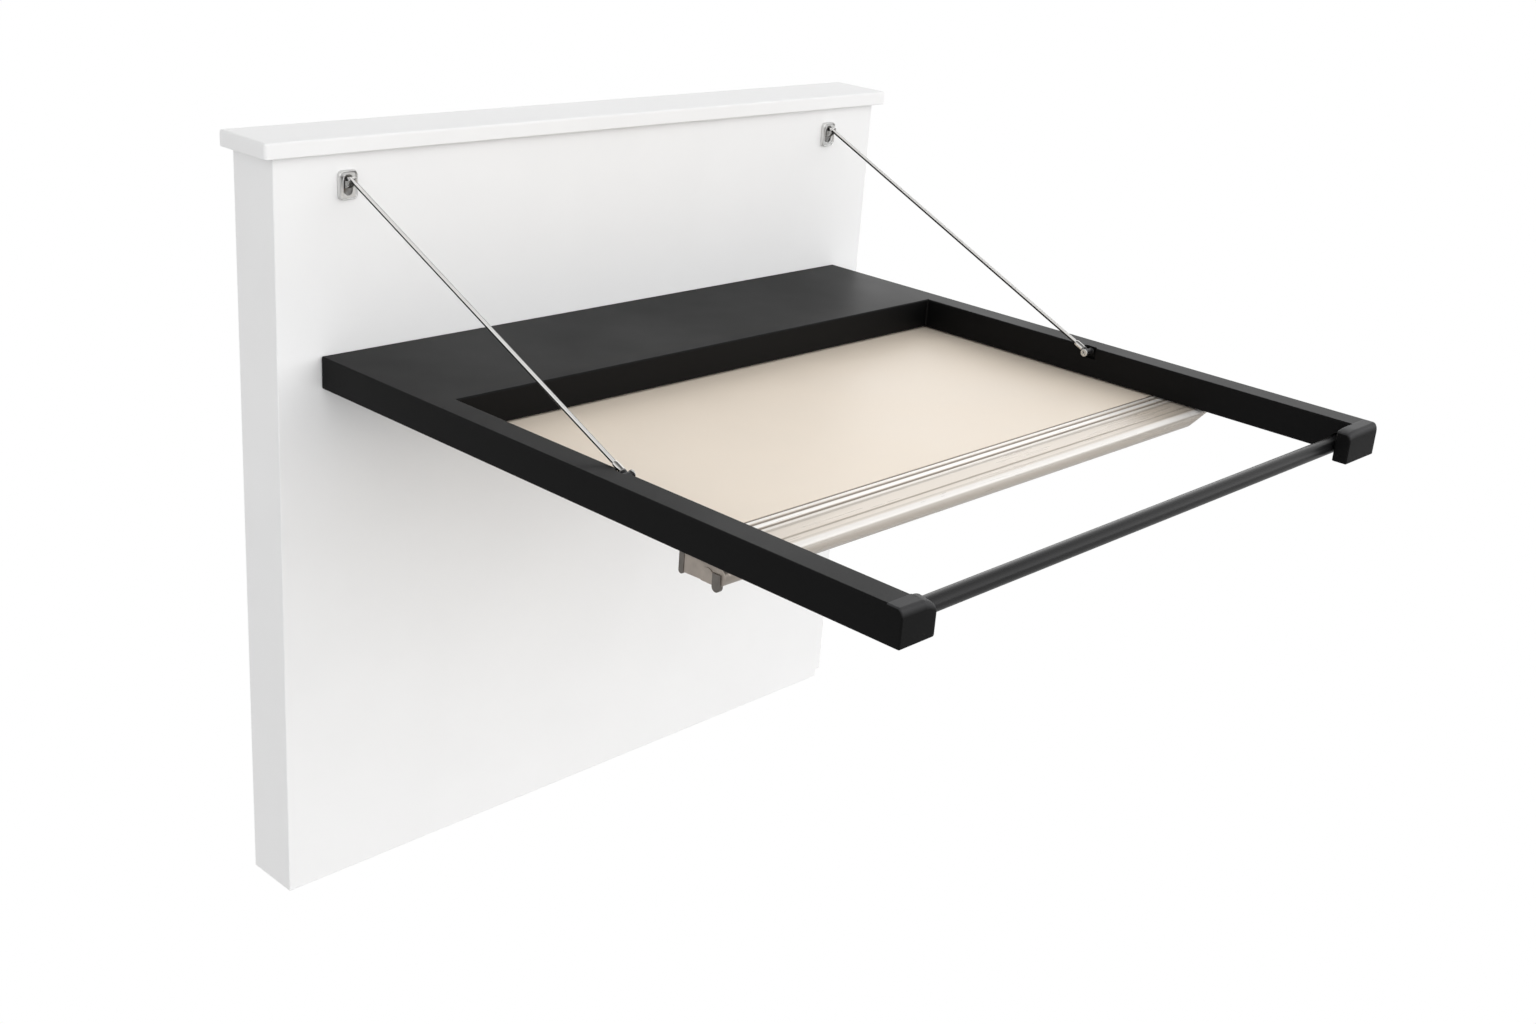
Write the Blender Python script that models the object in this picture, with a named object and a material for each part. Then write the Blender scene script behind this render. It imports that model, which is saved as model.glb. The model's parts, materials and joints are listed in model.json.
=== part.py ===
"""Wall mounted fold-down drying rack: a capped backboard, a hinged frame with a rear shelf and
a front hanging bar, two steel stays that hook into plates on the board, and a pull-out tray.

Units are metres and +Z is up. The origin is on the wall, at the centre of the board's back and
level with the fold axis. The rack stands out from the wall towards -Y.
"""

import math

import bmesh
import bpy
from mathutils import Matrix, Vector

GAP = 0.0003  # clearance between touching pieces
BEYOND = 0.010  # how far a cutting shape runs past what it cuts

# Backboard
BOARD_HALF = 0.486
BOARD_TOP = 0.286
BOARD_BOTTOM = -0.618
BOARD_DEPTH = 0.078
SKIN = 0.012
FOOT_NOTCH_WIDE = 0.009
FOOT_NOTCH_HIGH = 0.012
TOP_RAIL_HIGH = 0.072
HINGE_RAIL_HIGH = 0.120
BOTTOM_RAIL_HIGH = 0.040
CAP_OVERHANG = 0.015
CAP_FRONT = 0.010
CAP_THICK = 0.018

# Folding frame: "out" is the distance in front of the board's face
RACK_HALF = 0.430
RACK_TOP = 0.060
ARM_WIDE = 0.032
ARM_HIGH = 0.038
RACK_OUT = 0.850
SHELF_OUT = 0.205
DECK_THICK = 0.012
DECK_UNDER = RACK_TOP - DECK_THICK
REAR_RAIL_DEEP = 0.080
FASCIA_THICK = 0.018
BLOCK_DEEP = 0.018
BLOCK_WIDE = {"left": 0.049, "right": 0.066}
BLOCK_FALL = {"left": 0.015, "right": 0.004}
BLOCK_FALL_LONG = {"left": 0.026, "right": 0.022}
BLOCK_ROUND_DEEP = 0.006
BLOCK_ROUND_HIGH = 0.010
BAR_RADIUS = 0.0105
BAR_OUT = 0.8205
BAR_Z = RACK_TOP - 0.0254
BAR_SOCKET = 0.014
RACK_UNDER = RACK_TOP - ARM_HIGH
ARM_EASE = 0.0018
ARM_INNER = RACK_HALF - ARM_WIDE

# Fold hinges
FOLD_OUT = 0.012
HINGE_X = 0.250
HINGE_WIDE = 0.060
KNUCKLE_RADIUS = 0.0055
PIN_RADIUS = 0.0025
LEAF_THICK = 0.0025

# Stays, in the plane x = STAY_X
STAY_X = 0.394
STAY_RADIUS = 0.0025
PIVOT_OUT = 0.470
PIVOT_Z = RACK_TOP - 0.006
HOOK_OUT = 0.0072
HOOK_Z = RACK_TOP + 0.198
HOOK_RADIUS = 0.00225
HOOK_HALF = 0.0052
NOTCH_DEEP = 0.0055
NOTCH_LONG = 0.018
NOTCH_HIGH = 0.014
EYE_RADIUS = 0.0045
ROD_START = 0.0100
FERRULE_END = 0.0200
FERRULE_RADIUS = 0.0033
PLATE_WIDE = 0.0245
PLATE_HIGH = 0.033
PLATE_THICK = 0.004
PLATE_Z = RACK_TOP + 0.190
SLOT_RADIUS = 0.0058
SLOT_HIGH = 0.0226

# Tray
TRAY_TOP = RACK_TOP - 0.040
TRAY_THICK = 0.004
TRAY_HALF = 0.410
TRAY_REAR = 0.090
RAIL_START = 0.565
NOSE_OUT = 0.627
NOSE_RADIUS = 0.010
PROFILE_WALL = 0.0025
LEDGE_LONG = 0.009
LEDGE_THICK = 0.0022
# Grooves along the profile's top: place, half width and depth
GROOVES = ((0.577, 0.0014, 0.0011), (0.588, 0.0014, 0.0011), (0.597, 0.0010, 0.0007),
           (0.618, 0.0010, 0.0005))
PROFILE_LEFT = -0.3900
PROFILE_RIGHT = 0.3850
TRAY_END = 0.4210
TRAY_TRAVEL = 0.100
BATTEN_DEEP = 0.015
BATTEN_HIGH = 0.0046
BATTEN_LEDGE = 0.0020
RUNNER_START = 0.100
RUNNER_END = 0.550
RUNNER_SHEET = 0.0020

# Screws: head radius, shank radius and head depth
HINGE_SCREW = (0.0042, 0.0020, 0.0018)
RUNNER_SCREW = (0.0034, 0.0015, 0.0014)
STAY_SCREW = (0.0050, 0.0020, 0.0024)
HINGE_SCREW_X = ((1, -0.018), (2, 0.018))
DOWEL_RADIUS = 0.004
BLOCK_DOWEL_RADIUS = 0.003


# ---------------------------------------------------------------- scene and materials

def clear_scene():
    for old in list(bpy.data.objects):
        bpy.data.objects.remove(old, do_unlink=True)


def make_material(name, colour, roughness, metallic=0.0):
    material = bpy.data.materials.new(name)
    material.use_nodes = True
    shader = material.node_tree.nodes["Principled BSDF"]
    shader.inputs["Base Color"].default_value = (*colour, 1.0)
    shader.inputs["Roughness"].default_value = roughness
    shader.inputs["Metallic"].default_value = metallic
    return material


def make_axis(name, place, parent=None):
    axis = bpy.data.objects.new(name, None)
    bpy.context.scene.collection.objects.link(axis)
    axis.parent = parent
    axis.location = Vector(place) - (parent_place(parent) if parent else Vector())
    return axis


def parent_place(holder):
    place = Vector()
    while holder is not None:
        place += holder.location
        holder = holder.parent
    return place


def out(distance):
    """Y of a point that far in front of the board's face."""
    return -BOARD_DEPTH - distance


# ---------------------------------------------------------------- shapes

def block(low, high):
    """A box between two corners."""
    low, high = Vector(low), Vector(high)
    bm = bmesh.new()
    bmesh.ops.create_cube(bm, size=1.0)
    bmesh.ops.scale(bm, vec=high - low, verts=bm.verts)
    bmesh.ops.translate(bm, vec=(low + high) / 2, verts=bm.verts)
    return bm


def prism_x(outline, start, end, end_outline=None):
    """An outline of (out, z) points carried along X. end_outline tapers it."""
    bm = bmesh.new()
    first = [bm.verts.new((start, out(d), z)) for d, z in outline]
    last = [bm.verts.new((end, out(d), z)) for d, z in (end_outline or outline)]
    bm.faces.new(first)
    bm.faces.new(list(reversed(last)))
    for i, corner in enumerate(first):
        j = (i + 1) % len(first)
        bm.faces.new((first[j], corner, last[i], last[j]))
    bmesh.ops.recalc_face_normals(bm, faces=bm.faces)
    return bm


def prism_z(outline, bottom, top):
    """An outline of (x, y) points carried up Z."""
    bm = bmesh.new()
    face = bm.faces.new([bm.verts.new((x, y, bottom)) for x, y in outline])
    raised = bmesh.ops.extrude_face_region(bm, geom=[face])["geom"]
    corners = [v for v in raised if isinstance(v, bmesh.types.BMVert)]
    bmesh.ops.translate(bm, vec=(0, 0, top - bottom), verts=corners)
    bmesh.ops.recalc_face_normals(bm, faces=bm.faces)
    return bm


def prism_y(outline, back, front):
    """An outline of (x, z) points carried along Y."""
    bm = bmesh.new()
    face = bm.faces.new([bm.verts.new((x, back, z)) for x, z in outline])
    raised = bmesh.ops.extrude_face_region(bm, geom=[face])["geom"]
    corners = [v for v in raised if isinstance(v, bmesh.types.BMVert)]
    bmesh.ops.translate(bm, vec=(0, front - back, 0), verts=corners)
    bmesh.ops.recalc_face_normals(bm, faces=bm.faces)
    return bm


def cylinder(start, end, radius, segments=20, end_radius=None):
    """A cylinder or cone between two points."""
    start, end = Vector(start), Vector(end)
    along = end - start
    bm = bmesh.new()
    bmesh.ops.create_cone(bm, cap_ends=True, segments=segments, radius1=radius,
                          radius2=radius if end_radius is None else end_radius, depth=along.length)
    turn = along.to_track_quat("Z", "Y").to_matrix().to_4x4()
    bmesh.ops.transform(bm, matrix=Matrix.Translation((start + end) / 2) @ turn, verts=bm.verts)
    return bm


def slot_outline(centre_x, centre_z, radius, height, steps=8):
    """A vertical slot with round ends, as (x, z) points."""
    reach = height / 2 - radius
    points = []
    for side, middle in ((1, centre_z + reach), (-1, centre_z - reach)):
        for i in range(steps + 1):
            angle = math.pi * i / steps + (0 if side > 0 else math.pi)
            points.append((centre_x + radius * math.cos(angle), middle + radius * math.sin(angle)))
    return points


def rounded_outline(width, height, centre_x, centre_z, radius, steps=4):
    """A rectangle with round corners, as (x, z) points."""
    points = []
    for quarter, (sx, sz) in enumerate(((1, 1), (-1, 1), (-1, -1), (1, -1))):
        middle_x = centre_x + sx * (width / 2 - radius)
        middle_z = centre_z + sz * (height / 2 - radius)
        for i in range(steps + 1):
            angle = math.pi / 2 * (quarter + i / steps)
            points.append((middle_x + radius * math.cos(angle), middle_z + radius * math.sin(angle)))
    return points


def quarter_ellipse(centre_across, centre_z, across, high, steps=6):
    """A quarter of an ellipse from its top to its side, as (across, z) points."""
    turns = [math.pi / 2 * (1 - i / steps) for i in range(steps + 1)]
    return [(centre_across + across * math.cos(turn), centre_z + high * math.sin(turn)) for turn in turns]


# ---------------------------------------------------------------- objects and modifiers

def add_piece(name, bm, material, axis, smooth=False):
    """Turns a world-space bmesh into an object whose origin is its centre, held by an axis empty."""
    corners = [v.co.copy() for v in bm.verts]
    centre = Vector(tuple((min(c[i] for c in corners) + max(c[i] for c in corners)) / 2 for i in range(3)))
    bmesh.ops.translate(bm, vec=-centre, verts=bm.verts)
    mesh = bpy.data.meshes.new(name)
    bm.to_mesh(mesh)
    bm.free()
    if smooth:
        mesh.shade_smooth()
        mesh.set_sharp_from_angle(angle=math.radians(40))
    mesh.materials.append(material)
    piece = bpy.data.objects.new(name, mesh)
    bpy.context.scene.collection.objects.link(piece)
    piece.parent = axis
    piece.location = centre - parent_place(axis)
    return piece


def add_tool(piece, bm, operation="DIFFERENCE"):
    """Cuts a shape from a piece, or joins it on, with a Boolean and a hidden guide object."""
    count = sum(m.type == "BOOLEAN" for m in piece.modifiers)
    guide = add_piece(f"{piece.name}_guide_{count}", bm, piece.data.materials[0], piece.parent)
    guide.hide_render = True
    guide.display_type = "WIRE"
    boolean = piece.modifiers.new(f"{operation.lower()}_{count}", "BOOLEAN")
    boolean.operation = operation
    boolean.solver = "EXACT"
    boolean.object = guide


def soften(piece, width, segments=2):
    """Rounds every edge of a piece."""
    bevel = piece.modifiers.new("soften", "BEVEL")
    bevel.width = width
    bevel.segments = segments
    bevel.limit_method = "ANGLE"
    bevel.angle_limit = math.radians(40)
    bevel.use_clamp_overlap = True


def add_screw(name, head, tip, sizes, material, axis):
    """A flat-headed screw, from the outer face of its head to its tip."""
    head_radius, shank_radius, head_deep = sizes
    along = (tip - head).normalized()
    screw = add_piece(name, cylinder(head, head + along * head_deep, head_radius, 16), material, axis, True)
    shank = cylinder(head + along * head_deep * 0.5, tip, shank_radius, 12)
    add_tool(screw, shank, "UNION")


def drill(piece, start, end, radius):
    """A clearance hole between two points."""
    add_tool(piece, cylinder(start, end, radius + GAP, 16))


# ---------------------------------------------------------------- backboard

def build_backboard(board, mats):
    white, wood, nickel, steel = mats["white"], mats["wood"], mats["nickel"], mats["steel"]
    inner = BOARD_HALF - SKIN
    shell_plan = [(-BOARD_HALF, 0), (-BOARD_HALF, out(0)), (BOARD_HALF, out(0)), (BOARD_HALF, 0),
                  (inner, 0), (inner, out(-SKIN)), (-inner, out(-SKIN)), (-inner, 0)]
    shell = add_piece("backboard_shell", prism_z(shell_plan, BOARD_BOTTOM, BOARD_TOP), white, board)
    soften(shell, 0.0012)
    add_tool(shell, block((BOARD_HALF - FOOT_NOTCH_WIDE, out(BEYOND), BOARD_BOTTOM - BEYOND),
                          (BOARD_HALF + BEYOND, BEYOND, BOARD_BOTTOM + FOOT_NOTCH_HIGH)))

    rail_half = inner - GAP
    rail_front = out(-SKIN) + GAP
    cleat_space = 0.0150
    foot = BOARD_BOTTOM + FOOT_NOTCH_HIGH + 0.001
    spans = {"top_rail": (BOARD_TOP - TOP_RAIL_HIGH, BOARD_TOP - GAP, -cleat_space),
             "hinge_rail": (-HINGE_RAIL_HIGH / 2, HINGE_RAIL_HIGH / 2, 0),
             "bottom_rail": (foot, foot + BOTTOM_RAIL_HIGH, -GAP)}
    rails = {}
    for name, (low, high, back) in spans.items():
        rail = block((-rail_half, rail_front, low), (rail_half, back, high))
        rails[name] = add_piece(name, rail, wood, board)
        soften(rails[name], 0.0015)

    cap_z = BOARD_TOP + GAP
    cap_half = BOARD_HALF + CAP_OVERHANG
    cap = add_piece("cap_ledge", block((-cap_half, out(CAP_FRONT), cap_z),
                                       (cap_half, 0, cap_z + CAP_THICK)), white, board)
    soften(cap, 0.004, 3)

    # French cleat: the upper half hangs on the wall half along a 45 degree face
    thick, wide, low = 0.0144, 0.400, 0.214
    slant, hung_top = low + 0.0135, BOARD_TOP - 0.010
    wall = -BOARD_DEPTH
    hung = [(wall + thick, slant + 0.0005), (wall + GAP, slant + thick + 0.0002),
            (wall + GAP, hung_top), (wall + thick, hung_top)]
    add_piece("board_cleat", prism_x(hung, -wide, wide), wood, board)
    fixed = [(wall + thick, low), (wall + thick, slant), (wall, slant + thick), (wall, low)]
    add_piece("wall_cleat", prism_x(fixed, -wide, wide), wood, board)

    for side, x in (("left", -STAY_X), ("right", STAY_X)):
        opening = slot_outline(x, PLATE_Z, SLOT_RADIUS + 0.0004, SLOT_HIGH + 0.0008)
        add_tool(shell, prism_y(opening, out(0.002), out(-SKIN - 0.002)))
        build_plate(side, x, nickel, board)
        build_anchor(side, x, steel, board)
    for side, x in (("left", -HINGE_X), ("right", HINGE_X)):
        build_wall_leaf(side, x, mats, board, (shell, rails["hinge_rail"]))


def build_plate(side, x, nickel, board):
    """Escutcheon with a domed rim round a slotted opening."""
    outline = rounded_outline(PLATE_WIDE, PLATE_HIGH, x, PLATE_Z, 0.0055)
    pressing = prism_y(outline, out(GAP), out(PLATE_THICK + GAP))
    plate = add_piece(f"{side}_stay_plate", pressing, nickel, board, True)
    soften(plate, 0.0010)
    opening = slot_outline(x, PLATE_Z, SLOT_RADIUS, SLOT_HIGH)
    add_tool(plate, prism_y(opening, out(-0.002), out(PLATE_THICK + 0.003)))


def build_anchor(side, x, steel, board):
    """Forked hook behind the plate: two cheeks carry the stay's cross bar, open at the top."""
    back = 2 * GAP - SKIN
    saddle = HOOK_Z - HOOK_RADIUS - GAP
    lip_in = HOOK_OUT + HOOK_RADIUS + 0.0010
    lip_out = lip_in + 0.0015
    lip_top = HOOK_Z + 0.0018
    arm_high, root = 0.0110, back + 0.0024
    under = quarter_ellipse(root, saddle, lip_out - root, -arm_high)
    cheek = [(back, saddle - arm_high), (back, saddle), (lip_in, saddle), (lip_in, lip_top),
             (lip_out, lip_top)] + list(reversed(under))
    half = HOOK_HALF
    anchor = add_piece(f"{side}_stay_anchor", prism_x(cheek, x - half, x + half), steel, board)
    between = STAY_RADIUS + 0.0006
    add_tool(anchor, block((x - between, out(lip_out + 0.002), saddle - 0.020),
                           (x + between, out(back + 0.0025), lip_top + 0.010)))


# ---------------------------------------------------------------- fold hinges

def knuckle(start, end, radius):
    """A round bar on the fold axis."""
    return cylinder((start, out(FOLD_OUT), 0), (end, out(FOLD_OUT), 0), radius)


def build_wall_leaf(side, x, mats, board, holders):
    steel = mats["black_steel"]
    half = HINGE_WIDE / 2
    plate_out = LEAF_THICK + GAP
    leaf = add_piece(f"{side}_hinge_wall_leaf",
                     block((x - half, out(plate_out), -0.050), (x + half, out(GAP), -0.002)), steel, board)
    for start, end in ((-half, -half / 3), (half / 3, half)):
        web = block((x + start, out(FOLD_OUT), -KNUCKLE_RADIUS), (x + end, out(0.001), -0.0030))
        add_tool(leaf, web, "UNION")
        add_tool(leaf, knuckle(x + start, x + end, KNUCKLE_RADIUS), "UNION")
    add_tool(leaf, knuckle(x - half - BEYOND, x + half + BEYOND, PIN_RADIUS + GAP))
    pin = knuckle(x - half - 0.001, x + half + 0.001, PIN_RADIUS)
    add_piece(f"{side}_hinge_pin", pin, mats["steel"], board, True)
    head_deep, screw_z = HINGE_SCREW[2], -0.030
    for number, dx in HINGE_SCREW_X:
        head = Vector((x + dx, out(plate_out + head_deep + GAP), screw_z))
        tip = Vector((x + dx, out(-0.035), screw_z))
        add_screw(f"{side}_hinge_wall_screw_{number}", head, tip, HINGE_SCREW, mats["steel"], board)
        for holder in (leaf, *holders):
            drill(holder, head, tip + Vector((0, 0.002, 0)), HINGE_SCREW[1])


def build_rack_leaf(side, x, mats, rack, rear_rail):
    """Cranked leaf that drops from the rear rail to the fold axis."""
    half = HINGE_WIDE / 2
    middle = half / 3 - GAP
    top = RACK_UNDER - GAP
    web_rear, web_front = FOLD_OUT - 0.0015, FOLD_OUT + 0.0015
    plate = block((x - half, out(0.083), top - LEAF_THICK), (x + half, out(web_rear), top))
    leaf = add_piece(f"{side}_hinge_rack_leaf", plate, mats["black_steel"], rack)
    web = block((x - middle, out(web_front), 0), (x + middle, out(web_rear), top - 0.001))
    add_tool(leaf, web, "UNION")
    add_tool(leaf, knuckle(x - middle, x + middle, KNUCKLE_RADIUS), "UNION")
    add_tool(leaf, knuckle(x - half, x + half, PIN_RADIUS + GAP))
    head_deep, screw_out = HINGE_SCREW[2], 0.055
    for number, dx in HINGE_SCREW_X:
        head = Vector((x + dx, out(screw_out), top - LEAF_THICK - head_deep - GAP))
        tip = Vector((x + dx, out(screw_out), RACK_UNDER + 0.018))
        add_screw(f"{side}_hinge_rack_screw_{number}", head, tip, HINGE_SCREW, mats["steel"], rack)
        for holder in (leaf, rear_rail):
            drill(holder, head, tip + Vector((0, 0, 0.002)), HINGE_SCREW[1])


# ---------------------------------------------------------------- folding frame

def build_frame(rack, mats):
    black = mats["black"]
    inner = ARM_INNER - GAP
    rail_top = DECK_UNDER - GAP
    deck_shape = block((-inner, out(SHELF_OUT), DECK_UNDER), (inner, out(GAP), RACK_TOP))
    deck = add_piece("shelf_deck", deck_shape, black, rack)
    rail_shape = block((-inner, out(REAR_RAIL_DEEP), RACK_UNDER), (inner, out(GAP), rail_top))
    rear_rail = add_piece("shelf_rear_rail", rail_shape, black, rack)
    fascia_shape = block((-inner, out(SHELF_OUT), RACK_UNDER), (inner, out(SHELF_OUT - FASCIA_THICK), rail_top))
    fascia = add_piece("shelf_fascia", fascia_shape, black, rack)
    for board in (deck, fascia):
        soften(board, 0.0012)
    dowelled = (("rear", REAR_RAIL_DEEP / 2, rear_rail), ("fascia", SHELF_OUT - FASCIA_THICK / 2, fascia))
    for side, sign in (("left", -1), ("right", 1)):
        arm = build_arm(side, sign, mats, rack)
        build_end_block(side, sign, mats, rack, arm)
        build_dowels(side, sign, mats, rack, arm, dowelled)
        build_runner(side, sign, mats, rack, arm)
    reach = ARM_INNER + BAR_SOCKET - GAP
    bar = cylinder((-reach, out(BAR_OUT), BAR_Z), (reach, out(BAR_OUT), BAR_Z), BAR_RADIUS, 32)
    add_piece("front_bar", bar, black, rack, True)
    for side, x in (("left", -HINGE_X), ("right", HINGE_X)):
        build_rack_leaf(side, x, mats, rack, rear_rail)


def sided(sign, near, far):
    """Two distances from the middle as ascending x values on one side."""
    return tuple(sorted((sign * near, sign * far)))


def build_arm(side, sign, mats, rack):
    low, high = sided(sign, ARM_INNER, RACK_HALF)
    end = RACK_OUT - BLOCK_DEEP - GAP
    stick = block((low, out(end), RACK_UNDER), (high, out(GAP), RACK_TOP))
    arm = add_piece(f"{side}_arm", stick, mats["black"], rack)
    soften(arm, ARM_EASE)
    socket = cylinder((sign * (ARM_INNER - BEYOND), out(BAR_OUT), BAR_Z),
                      (sign * (ARM_INNER + BAR_SOCKET), out(BAR_OUT), BAR_Z), BAR_RADIUS + GAP, 32)
    add_tool(arm, socket)
    low, high = sided(sign, ARM_INNER - BEYOND, ARM_INNER + NOTCH_DEEP)
    notch = block((low, out(PIVOT_OUT + NOTCH_LONG / 2), RACK_TOP - NOTCH_HIGH),
                  (high, out(PIVOT_OUT - NOTCH_LONG / 2), RACK_TOP + BEYOND))
    add_tool(arm, notch)
    head = Vector((sign * (STAY_X - 0.0078), out(PIVOT_OUT), PIVOT_Z))
    tip = Vector((sign * (ARM_INNER + 0.020), out(PIVOT_OUT), PIVOT_Z))
    add_screw(f"{side}_stay_screw", head, tip, STAY_SCREW, mats["steel"], rack)
    drill(arm, head, tip + Vector((sign * 0.001, 0, 0)), STAY_SCREW[1])
    return arm


def build_end_block(side, sign, mats, rack, arm):
    """End block that turns inward in front of the bar, with its upper front edge rounded over and the
    top of its inner end falling away."""
    rear, front = RACK_OUT - BLOCK_DEEP, RACK_OUT
    outline = [(rear, RACK_UNDER), (rear, RACK_TOP)]
    outline += quarter_ellipse(front - BLOCK_ROUND_DEEP, RACK_TOP - BLOCK_ROUND_HIGH,
                               BLOCK_ROUND_DEEP, BLOCK_ROUND_HIGH)
    outline.append((front, RACK_UNDER))
    tip = RACK_HALF - BLOCK_WIDE[side]
    low, high = sided(sign, tip, RACK_HALF)
    end_block = add_piece(f"{side}_end_block", prism_x(outline, low, high), mats["black"], rack, True)
    soften(end_block, ARM_EASE)
    fall, fall_long = BLOCK_FALL[side], BLOCK_FALL_LONG[side]
    crest = quarter_ellipse(tip + fall_long, RACK_TOP - fall, -fall_long, fall)
    above = [(tip - BEYOND, RACK_TOP - fall), (tip - BEYOND, RACK_TOP + BEYOND),
             (tip + fall_long, RACK_TOP + BEYOND)]
    fallen = [(sign * x, z) for x, z in crest + above]
    add_tool(end_block, prism_y(fallen, out(rear - BEYOND), out(front + BEYOND)))
    middle = Vector((sign * (RACK_HALF - 0.012), out(rear), RACK_TOP - 0.012))
    start, end = middle + Vector((0, 0.018, 0)), middle - Vector((0, 0.010, 0))
    dowel = cylinder(start, end, BLOCK_DOWEL_RADIUS, 12)
    add_piece(f"{side}_end_block_dowel", dowel, mats["wood"], rack, True)
    slack = Vector((0, 0.001, 0))
    for holder in (arm, end_block):
        drill(holder, start + slack, end - slack, BLOCK_DOWEL_RADIUS)


def build_dowels(side, sign, mats, rack, arm, places):
    for name, distance, rail in places:
        start = Vector((sign * (ARM_INNER - 0.018), out(distance), RACK_UNDER + 0.012))
        end = Vector((sign * (ARM_INNER + 0.014), out(distance), RACK_UNDER + 0.012))
        add_piece(f"{side}_{name}_dowel", cylinder(start, end, DOWEL_RADIUS, 12), mats["wood"], rack, True)
        slack = Vector((sign * 0.001, 0, 0))
        for holder in (arm, rail):
            drill(holder, start - slack, end + slack, DOWEL_RADIUS)


def build_runner(side, sign, mats, rack, arm):
    """Rolled channel under the arm that holds the tray's edge, with a turned-down stop."""
    web = TRAY_HALF + 0.0008
    top = RACK_UNDER - GAP
    lip_top = TRAY_TOP - TRAY_THICK - GAP
    lip_under = lip_top - RUNNER_SHEET
    flange_under = top - 0.0018
    rear, front = out(RUNNER_START), out(RUNNER_END)
    lip_inner, stop_outer = ARM_INNER + 0.004, ARM_INNER + 0.009
    stop = TRAY_REAR + BATTEN_DEEP + TRAY_TRAVEL + 0.0005
    stop_low = TRAY_TOP - TRAY_THICK - BATTEN_HIGH

    def strip(near, far, ahead, low, behind, high):
        left, right = sided(sign, near, far)
        return block((left, ahead, low), (right, behind, high))
    runner = add_piece(f"{side}_tray_runner", strip(web, web + RUNNER_SHEET, front, lip_under, rear, top),
                       mats["black_steel"], rack)
    add_tool(runner, strip(lip_inner, web + 0.001, front, lip_under, rear, lip_top), "UNION")
    add_tool(runner, strip(web + 0.001, web + 0.0130, front, flange_under, rear, top), "UNION")
    stop_front, stop_rear = out(stop + 0.003), out(stop)
    add_tool(runner, strip(lip_inner, stop_outer, stop_front, stop_low, stop_rear, lip_top - 0.001), "UNION")
    screw_x = sign * (web + 0.0078)
    for number, distance in ((1, 0.150), (2, 0.480)):
        head = Vector((screw_x, out(distance), flange_under - RUNNER_SCREW[2] - GAP))
        tip = Vector((screw_x, out(distance), RACK_UNDER + 0.014))
        add_screw(f"{side}_runner_screw_{number}", head, tip, RUNNER_SCREW, mats["steel"], rack)
        for holder in (runner, arm):
            drill(holder, head, tip + Vector((0, 0, 0.001)), RUNNER_SCREW[1])


# ---------------------------------------------------------------- tray

def profile_outline():
    """Section of the front profile, as (out, z) points: a panel ledge, a grooved top and a hollow nose."""
    top = TRAY_TOP
    ledge, rear = top - TRAY_THICK - GAP, RAIL_START - LEDGE_LONG
    points = [(rear, ledge - LEDGE_THICK), (rear, ledge), (RAIL_START, ledge), (RAIL_START, top)]
    for middle, half, deep in GROOVES:
        points += [(middle - half, top), (middle, top - deep), (middle + half, top)]
    points += nose_arc(NOSE_RADIUS, 1)
    lip, under = NOSE_OUT - 0.0055, top - 2 * NOSE_RADIUS
    points += [(lip, under), (lip, under + PROFILE_WALL)]
    points += nose_arc(NOSE_RADIUS - PROFILE_WALL, -1)
    step = RAIL_START + 0.003
    points += [(step, top - PROFILE_WALL), (step, ledge - LEDGE_THICK)]
    return points


def nose_arc(radius, direction, steps=10, squash=1.0):
    """Half circle round the nose, from top to bottom for direction 1 and back up for -1."""
    middle = TRAY_TOP - NOSE_RADIUS * squash
    turns = range(steps + 1) if direction > 0 else range(steps, -1, -1)
    points = []
    for i in turns:
        angle = math.pi / 2 - math.pi * i / steps
        points.append((NOSE_OUT + radius * math.cos(angle), middle + radius * squash * math.sin(angle)))
    return points


def build_tray(tray, mats):
    metal = mats["champagne"]
    panel = block((-TRAY_HALF, out(RAIL_START - GAP), TRAY_TOP - TRAY_THICK),
                  (TRAY_HALF, out(TRAY_REAR), TRAY_TOP))
    add_piece("tray_panel", panel, mats["beige"], tray)
    add_piece("tray_front_profile", prism_x(profile_outline(), PROFILE_LEFT, PROFILE_RIGHT), metal, tray, True)
    build_left_bracket(tray, mats["bronze"])
    build_right_cap(tray, metal)
    under = TRAY_TOP - TRAY_THICK - GAP
    narrow, wide = ARM_INNER + 0.0015, ARM_INNER + 0.0090
    front = TRAY_REAR + BATTEN_DEEP
    bar = block((-narrow, out(front), under - BATTEN_HIGH), (narrow, out(TRAY_REAR), under))
    batten = add_piece("tray_rear_batten", bar, metal, tray)
    ears = block((-wide, out(front), under - BATTEN_HIGH),
                 (wide, out(TRAY_REAR), under - BATTEN_HIGH + BATTEN_LEDGE))
    add_tool(batten, ears, "UNION")


def tongue_outline(near, far, top, bottom, steps=6):
    """A hanging tongue with a round lower end, as (out, z) points."""
    radius = (far - near) / 2
    points = [(near, top), (far, top)]
    for i in range(steps + 1):
        angle = -math.pi * i / steps
        points.append(((near + far) / 2 + radius * math.cos(angle), bottom + radius + radius * math.sin(angle)))
    return points


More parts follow.
